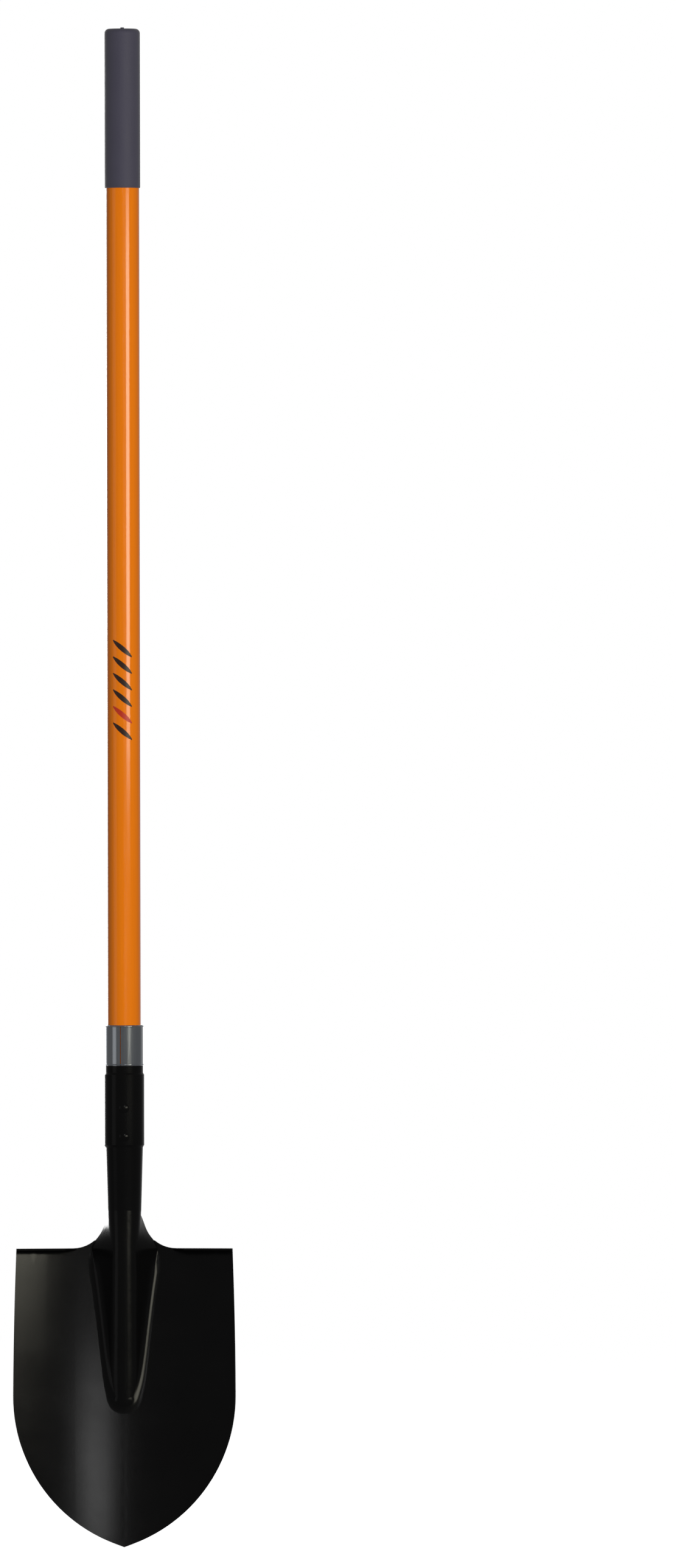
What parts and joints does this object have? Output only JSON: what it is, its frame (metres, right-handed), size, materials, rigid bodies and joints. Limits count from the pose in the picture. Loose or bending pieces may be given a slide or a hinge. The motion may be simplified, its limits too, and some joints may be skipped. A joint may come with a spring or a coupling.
{
  "type": "round point shovel",
  "caption": "Long handled digging shovel with a pressed open-back round point blade, forward turned treads, an orange fibreglass handle, a steel ferrule and a grey vinyl grip.",
  "frame": {"origin": "centre of the grip at the top of the handle, on the handle's axis", "axes": "+Z along the handle's axis towards the closed top of the grip, -Y towards the dished front of the blade, +X towards the right side of the blade seen from the front"},
  "size_m": [0.222, 0.0987, 1.5154],
  "materials": {
    "black_paint": "satin black paint on pressed sheet steel",
    "zinc_steel": "drawn zinc plated steel",
    "orange_fibreglass": "glossy orange resin over glass fibre",
    "core_wood": "plain turned softwood",
    "grey_vinyl": "matte slate grey vinyl",
    "rivet_paint": "satin black paint over steel"
  },
  "bodies": {
    "root": {"shovel_head": "black_paint", "ferrule": "zinc_steel", "handle_tube": "orange_fibreglass", "handle_core": "core_wood", "grip_sleeve": "grey_vinyl", "rivets": "rivet_paint"}
  },
  "joints": []
}
